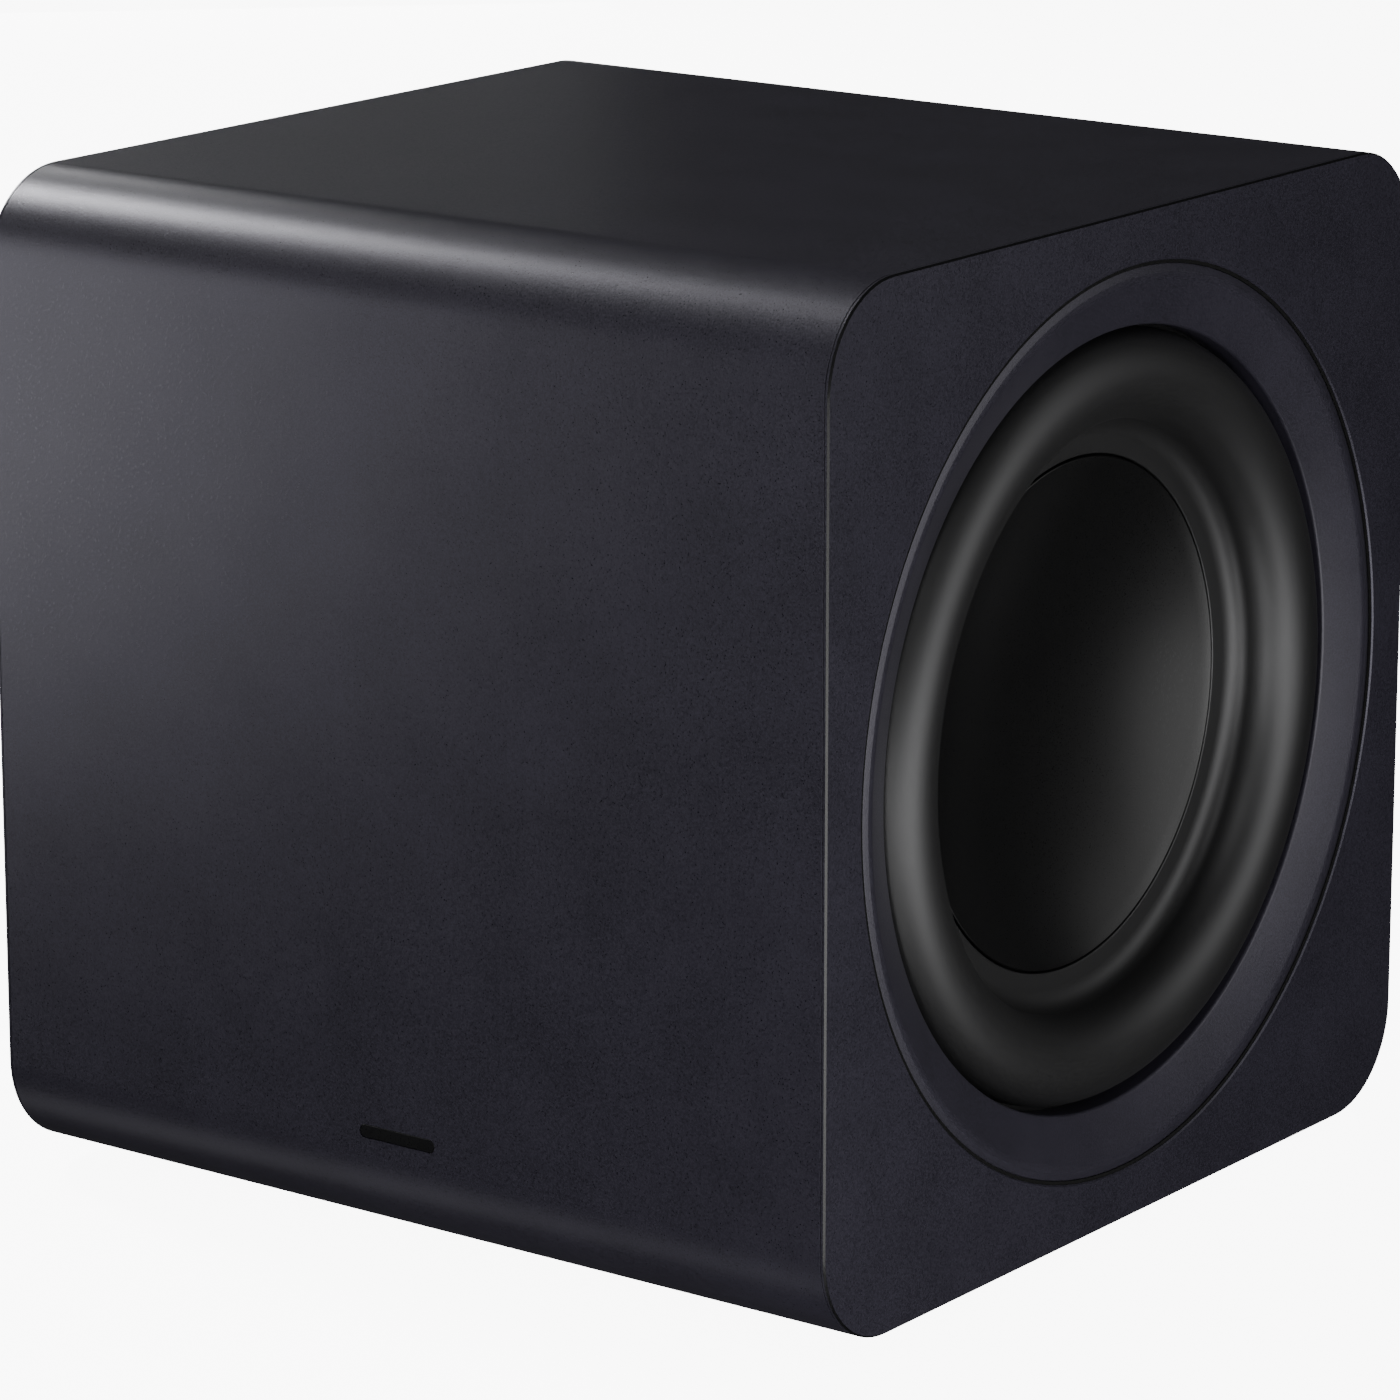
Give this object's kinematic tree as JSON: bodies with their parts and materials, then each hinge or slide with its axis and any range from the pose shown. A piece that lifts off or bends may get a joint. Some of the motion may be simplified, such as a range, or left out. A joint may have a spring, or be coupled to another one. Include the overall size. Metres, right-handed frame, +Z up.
{
  "type": "subwoofer",
  "caption": "Compact cube subwoofer with rounded front and rear edges, flat side panels and a rubber-edged driver set in a flush ring on each side.",
  "frame": {"origin": "on the floor under the middle of the cabinet", "axes": "+Z up, front face towards -Y, drivers firing along +X and -X"},
  "size_m": [0.249, 0.249, 0.2518],
  "materials": {
    "charcoal_paint": "matte fine-grain paint",
    "ring_paint": "matte fine-grain paint",
    "black_rubber": "satin moulded rubber",
    "pressed_fibre": "fine-grain matte",
    "badge_black": "satin inlay",
    "rear_plastic": "fine spark-eroded texture",
    "zinc_steel": "zinc plated",
    "black_steel": "black e-coat",
    "ferrite": "sintered",
    "copper_wire": "enamelled copper wire",
    "aluminium": "extruded",
    "spider_cloth": "resin-treated cotton",
    "circuit_board": "solder mask",
    "light_pipe": "frosted clear",
    "gasket_foam": "closed-cell foam",
    "capacitor_sleeve": "shrink sleeve",
    "nickel_pin": "nickel plated",
    "brace_plastic": "moulded"
  },
  "bodies": {
    "enclosure": {"amplifier_board": "circuit_board", "badge_inlay": "badge_black", "basket_left": "black_steel", "basket_right": "black_steel", "cabinet_shell": "charcoal_paint", "capacitor_1": "capacitor_sleeve", "capacitor_2": "capacitor_sleeve", "centre_brace": "brace_plastic", "driver_screw_left_1": "black_steel", "driver_screw_left_2": "black_steel", "driver_screw_left_3": "black_steel", "driver_screw_left_4": "black_steel", "driver_screw_right_1": "black_steel", "driver_screw_right_2": "black_steel", "driver_screw_right_3": "black_steel", "driver_screw_right_4": "black_steel", "foot_front_left": "black_rubber", "foot_front_right": "black_rubber", "foot_rear_left": "black_rubber", "foot_rear_right": "black_rubber", "heat_sink": "aluminium", "inlet_pin_1": "nickel_pin", "inlet_pin_2": "nickel_pin", "magnet_left": "ferrite", "magnet_right": "ferrite", "power_inlet": "rear_plastic", "power_supply_board": "circuit_board", "radio_module": "zinc_steel", "rear_gasket": "gasket_foam", "rear_panel": "rear_plastic", "rear_screw_1": "black_steel", "rear_screw_2": "black_steel", "rear_screw_3": "black_steel", "rear_screw_4": "black_steel", "side_panel_left": "charcoal_paint", "side_panel_right": "charcoal_paint", "speaker_cable_left": "black_rubber", "speaker_cable_right": "black_rubber", "status_light_pipe": "light_pipe", "tact_switch": "zinc_steel", "top_plate_left": "zinc_steel", "top_plate_right": "zinc_steel", "transformer": "ferrite", "trim_ring_left": "ring_paint", "trim_ring_right": "ring_paint", "yoke_left": "zinc_steel", "yoke_right": "zinc_steel"},
    "diaphragm_right": {"dish_right": "pressed_fibre", "cone_right": "pressed_fibre", "surround_right": "black_rubber", "spider_right": "spider_cloth", "coil_former_right": "aluminium", "voice_coil_right": "copper_wire"},
    "diaphragm_left": {"dish_left": "pressed_fibre", "cone_left": "pressed_fibre", "surround_left": "black_rubber", "spider_left": "spider_cloth", "coil_former_left": "aluminium", "voice_coil_left": "copper_wire"},
    "pairing_button": {"pair_button": "rear_plastic"}
  },
  "joints": [
    {"name": "cone_right_stroke", "type": "slide", "parent": "enclosure", "child": "diaphragm_right", "axis": [1, 0, 0], "range_m": [-0.008, 0.008], "stiffness_N_per_m": 2000, "deforming": ["surround_right", "spider_right"]},
    {"name": "cone_left_stroke", "type": "slide", "parent": "enclosure", "child": "diaphragm_left", "axis": [-1, 0, 0], "range_m": [-0.008, 0.008], "stiffness_N_per_m": 2000, "deforming": ["surround_left", "spider_left"]},
    {"name": "pair_button_press", "type": "slide", "parent": "enclosure", "child": "pairing_button", "axis": [0, -1, 0], "range_m": [0, 0.0006], "stiffness_N_per_m": 600, "springref_m": -0.0004}
  ],
  "couplings": [
    {"joint": "cone_left_stroke", "follows": "cone_right_stroke", "ratio": 1}
  ]
}
